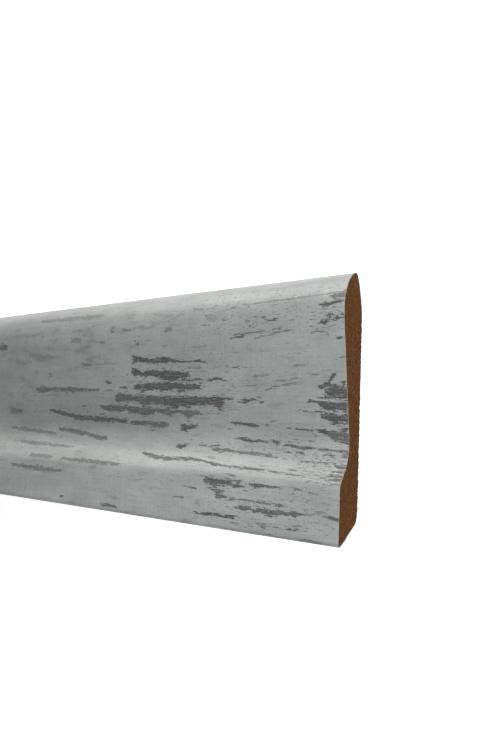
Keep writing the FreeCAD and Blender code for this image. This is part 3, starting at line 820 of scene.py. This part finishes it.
def printed_foil(finish):
    """Satin decor foil, printed as dry-brushed paint on weathered wood, with a lacquer over it."""
    material, tree = new_material("printed_decor_foil")
    place = add(tree, "ShaderNodeAttribute", attribute_name="print_place").outputs["Vector"]
    measured = {name: add(tree, "ShaderNodeAttribute", attribute_name=name).outputs["Fac"]
                for name in ("worn", "strength", *PATCHES)}
    grains = {}
    for name, (along, up, octaves) in PRINT_GRAINS.items():
        stretched = add(tree, "ShaderNodeVectorMath", {0: place, 1: (1 / along, 1 / up, 0)},
                        operation="MULTIPLY")
        grains[name] = add(tree, "ShaderNodeTexNoise", {"Vector": stretched, "Scale": 1.0, "Detail": octaves,
                                                        "Roughness": 0.6}, noise_dimensions="2D").outputs[0]
    clustered = add(tree, "ShaderNodeMath", {0: grains["clusters"], 1: CLUSTERING, 2: grains["streaks"]},
                    operation="MULTIPLY_ADD")
    pattern = add(tree, "ShaderNodeMapRange", {"Value": clustered, "From Min": 0.84, "From Max": 0.99})
    from_end = add(tree, "ShaderNodeSeparateXYZ", {0: place}).outputs["X"]
    beyond = add(tree, "ShaderNodeMapRange", {"Value": from_end, "From Min": HAND_PLACED_TO,
                                              "From Max": PATTERN_FROM})
    ragged = add(tree, "ShaderNodeMix", {"Factor": beyond, "A": measured["worn"], "B": pattern})
    for name, share in RAGGEDNESS.items():
        ragged = add(tree, "ShaderNodeMath", {0: grains[name], 1: share, 2: ragged}, operation="MULTIPLY_ADD")
    # The patterns lie about a half, so together they lift an edge by half of their shares
    edge = HALF_WORN + sum(RAGGEDNESS.values()) / 2
    bare = add(tree, "ShaderNodeMapRange", {"Value": ragged, "From Min": edge - EDGE_FADE,
                                            "From Max": edge + EDGE_FADE}, interpolation_type="SMOOTHSTEP")
    # The streaks are streaky themselves: strands of paint are left in them
    left_bare = add(tree, "ShaderNodeMath", {0: grains["grit"], 1: STRAND_GRIT, 2: grains["strands"]},
                    operation="MULTIPLY_ADD")
    depth = add(tree, "ShaderNodeMapRange", {"Value": left_bare, "From Min": 0.62, "From Max": 0.78,
                                             "To Min": 0.58, "To Max": 0.94})
    depth = add(tree, "ShaderNodeMath", {0: depth, 1: measured["strength"]}, operation="MULTIPLY")
    bare = add(tree, "ShaderNodeMath", {0: bare, 1: depth}, operation="MULTIPLY")
    # Fine marks and smudges lie all over the print, and gather in patches
    shown = bare
    for name, (patches, gain, low, high, most) in MARKS.items():
        denser = add(tree, "ShaderNodeMath", {0: measured[patches], 1: gain, 2: grains[name]},
                     operation="MULTIPLY_ADD")
        marks = add(tree, "ShaderNodeMapRange", {"Value": denser, "From Min": low, "From Max": high,
                                                 "To Max": most})
        shown = add(tree, "ShaderNodeMath", {0: shown, 1: marks}, operation="MAXIMUM")
    shades = [add(tree, "ShaderNodeMapRange", {"Value": grains[name], "From Min": 0.25, "From Max": 0.75,
                                               "To Min": 1 - amount, "To Max": 1 + amount})
              for name, amount in SHADES.items()]
    # Patches of painted light and painted shade lighten and darken the paint
    shades += [add(tree, "ShaderNodeMapRange", {"Value": measured[name], "From Min": PLAIN_DENSITY,
                                                "To Min": 1.0, "To Max": 1 + amount})
               for name, amount in PATCH_SHADES.items()]
    tone = 1.0
    for shade in shades:
        tone = add(tree, "ShaderNodeMath", {0: tone, 1: shade}, operation="MULTIPLY")
    paint = add(tree, "ShaderNodeMix", {"Factor": 1.0, "A": rgba(finish.paint), "B": tone}, data_type="RGBA",
                blend_type="MULTIPLY")
    printed = add(tree, "ShaderNodeMix", {"Factor": shown, "A": paint, "B": rgba(finish.bare_wood)},
                  data_type="RGBA")
    gloss = add(tree, "ShaderNodeMapRange", {"Value": shown, "To Min": 0.44, "To Max": 0.58})
    relief = add(tree, "ShaderNodeMath", {0: grains["brushing"], 1: BRUSH_RELIEF, 2: shown},
                 operation="MULTIPLY_ADD")
    bump = add(tree, "ShaderNodeBump", {"Height": relief, "Strength": 0.12, "Distance": 0.02 * MM},
               invert=True)
    surface = add(tree, "ShaderNodeBsdfPrincipled", {"Base Color": printed, "Roughness": gloss, "IOR": 1.5,
                                                     "Normal": bump})
    add(tree, "ShaderNodeOutputMaterial", {"Surface": surface})
    return material


def foil_paper(finish):
    """The foil's paper, matt and fibrous, which shows as a hairline along the sawn ends."""
    material, tree = new_material("foil_paper")
    place = add(tree, "ShaderNodeTexCoord").outputs["Object"]
    fibres = add(tree, "ShaderNodeTexNoise", {"Vector": place, "Scale": 1 / PAPER_FIBRE, "Detail": 2.0})
    tone = add(tree, "ShaderNodeMapRange", {"Value": fibres, "To Min": 0.8, "To Max": 1.2})
    paper = add(tree, "ShaderNodeMix", {"Factor": 1.0, "A": rgba(finish.paper), "B": tone}, data_type="RGBA",
                blend_type="MULTIPLY")
    bump = add(tree, "ShaderNodeBump", {"Height": fibres, "Strength": 0.3, "Distance": 0.05 * MM})
    surface = add(tree, "ShaderNodeBsdfPrincipled", {"Base Color": paper, "Roughness": 0.8, "Normal": bump})
    add(tree, "ShaderNodeOutputMaterial", {"Surface": surface})
    return material


def milled_mdf(finish):
    """Medium-density fibreboard, sawn and milled: matt brown with fine dark and pale fibres."""
    material, tree = new_material("milled_mdf")
    place = add(tree, "ShaderNodeTexCoord").outputs["Object"]
    fine = add(tree, "ShaderNodeTexNoise", {"Vector": place, "Scale": 1 / MDF_FIBRE, "Detail": 2.0,
                                            "Roughness": 0.65})
    coarse = add(tree, "ShaderNodeTexNoise", {"Vector": place, "Scale": 1 / MDF_BLOTCH, "Detail": 3.0})
    dark = add(tree, "ShaderNodeMapRange", {"Value": fine, "From Min": 0.52, "From Max": 0.34})
    pale = add(tree, "ShaderNodeMapRange", {"Value": fine, "From Min": 0.56, "From Max": 0.72})
    shade = add(tree, "ShaderNodeMapRange", {"Value": coarse, "From Min": 0.3, "From Max": 0.7,
                                             "To Min": 0.82, "To Max": 1.18})
    body = add(tree, "ShaderNodeMix", {"Factor": dark, "A": rgba(finish.mdf), "B": rgba(finish.mdf_dark)},
               data_type="RGBA")
    flecked = add(tree, "ShaderNodeMix", {"Factor": pale, "A": body, "B": rgba(finish.mdf_pale)},
                  data_type="RGBA")
    shaded = add(tree, "ShaderNodeMix", {"Factor": 1.0, "A": flecked, "B": shade}, data_type="RGBA",
                 blend_type="MULTIPLY")
    bump = add(tree, "ShaderNodeBump", {"Height": fine, "Strength": 0.5, "Distance": 0.1 * MM})
    # Loose fibres scatter most of the gloss
    surface = add(tree, "ShaderNodeBsdfPrincipled", {"Base Color": shaded, "Roughness": 0.85, "Normal": bump,
                                                     "Specular IOR Level": 0.09})
    add(tree, "ShaderNodeOutputMaterial", {"Surface": surface})
    return material


def make_stage(stage):
    """A white floor that keeps the board's soft shadow, the lamps, light from all round, and the camera."""
    bpy.ops.object.select_all(action="DESELECT")
    bpy.ops.mesh.primitive_plane_add(size=FLOOR_SIZE, location=(0, 0, -FLOOR_DROP))
    floor = bpy.context.object
    floor.name = "floor"
    floor.data.materials.append(studio_floor(stage))
    for name, place, target, (across, up), power, spread, tint in LAMPS:
        bpy.ops.object.light_add(type="AREA", location=place)
        lamp = bpy.context.object
        lamp.name = name
        lamp.rotation_euler = (Vector(target) - Vector(place)).to_track_quat("-Z", "Y").to_euler()
        lamp.data.shape = "RECTANGLE"
        lamp.data.size = across
        lamp.data.size_y = up
        lamp.data.energy = power
        lamp.data.spread = math.radians(spread)
        lamp.data.color = tint
    world = bpy.data.worlds.new("studio")
    bpy.context.scene.world = world
    world.use_nodes = True
    tree = world.node_tree
    tree.nodes.clear()
    all_round = add(tree, "ShaderNodeBackground", {"Color": rgba(WHITE), "Strength": stage.ambient})
    seen = add(tree, "ShaderNodeBackground", {"Color": rgba(WHITE), "Strength": 1.0})
    mixed = add(tree, "ShaderNodeMixShader", {0: seeing_rays(tree), 1: all_round, 2: seen})
    add(tree, "ShaderNodeOutputWorld", {"Surface": mixed})
    bpy.ops.object.camera_add(location=stage.camera)
    camera = bpy.context.object
    camera.name = "camera"
    camera.rotation_mode = "ZXY"
    camera.rotation_euler = stage.turns
    camera.data.lens = stage.lens
    camera.data.clip_start = NEAREST_SEEN
    bpy.context.scene.camera = camera
    bpy.context.scene.view_settings.view_transform = "Standard"


def seeing_rays(tree):
    """1 for rays that see the background, straight or in a gloss, and 0 for those that light the board."""
    rays = add(tree, "ShaderNodeLightPath")
    seen = rays.outputs["Is Camera Ray"]
    for name in ("Is Glossy Ray", "Is Transmission Ray"):
        seen = add(tree, "ShaderNodeMath", {0: seen, 1: rays.outputs[name]}, operation="MAXIMUM")
    return seen


def studio_floor(stage):
    """Matt white paper, lifted to white where a camera or a reflection sees it."""
    material, tree = new_material("studio_floor")
    strength = add(tree, "ShaderNodeMath", {0: seeing_rays(tree), 1: FLOOR_SHINE}, operation="MULTIPLY")
    lifted = add(tree, "ShaderNodeEmission", {"Strength": strength})
    paper = add(tree, "ShaderNodeBsdfDiffuse", {"Color": rgba(stage.floor)})
    both = add(tree, "ShaderNodeAddShader", {0: paper, 1: lifted})
    add(tree, "ShaderNodeOutputMaterial", {"Surface": both})
    return material


class SKIRTING_OT_core(bpy.types.Operator):
    """Mill the MDF core to its section and saw its ends"""
    bl_idname = "skirting.milled_core"
    bl_label = "Milled MDF core"

    def execute(self, context):
        piece = make_core(context.scene.skirting_section, context.scene.skirting_finish)
        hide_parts("mdf_core")
        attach(piece, "root")
        return {"FINISHED"}


class SKIRTING_OT_foil(bpy.types.Operator):
    """Wrap the printed foil round the core, from under the toe to behind the tip"""
    bl_idname = "skirting.printed_foil"
    bl_label = "Printed decor foil"

    def execute(self, context):
        piece = make_foil(context.scene.skirting_section, context.scene.skirting_finish)
        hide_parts("decor_foil")
        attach(piece, "root")
        return {"FINISHED"}


class SKIRTING_OT_stage(bpy.types.Operator):
    """Set up the floor, the lamps and the camera"""
    bl_idname = "skirting.stage"
    bl_label = "Studio stage"

    def execute(self, context):
        make_stage(context.scene.skirting_stage)
        return {"FINISHED"}


class SKIRTING_PT_panel(bpy.types.Panel):
    """Lists the board's pieces, sizes and colours"""
    bl_label = "Skirting board"
    bl_idname = "SKIRTING_PT_panel"
    bl_space_type = "VIEW_3D"
    bl_region_type = "UI"
    bl_category = "Skirting"

    def draw(self, context):
        for operator in (SKIRTING_OT_core, SKIRTING_OT_foil, SKIRTING_OT_stage):
            self.layout.operator(operator.bl_idname)
        for name in SETTINGS:
            box = self.layout.box()
            group = getattr(context.scene, name)
            for size in group.bl_rna.properties.keys():
                if size not in ("rna_type", "name"):
                    box.prop(group, size)


SETTINGS = {
    "skirting_section": SkirtingSection,
    "skirting_finish": SkirtingFinish,
    "skirting_stage": SkirtingStage,
}
CLASSES = (*SETTINGS.values(), SKIRTING_OT_core, SKIRTING_OT_foil, SKIRTING_OT_stage, SKIRTING_PT_panel)


def register():
    for cls in CLASSES:
        bpy.utils.register_class(cls)
    for name, group in SETTINGS.items():
        setattr(bpy.types.Scene, name, PointerProperty(type=group))


def unregister():
    for name in SETTINGS:
        delattr(bpy.types.Scene, name)
    for cls in reversed(CLASSES):
        bpy.utils.unregister_class(cls)


def main():
    register()
    bpy.ops.skirting.milled_core()
    bpy.ops.skirting.printed_foil()
    bpy.ops.skirting.stage()


if __name__ == "__main__":
    main()
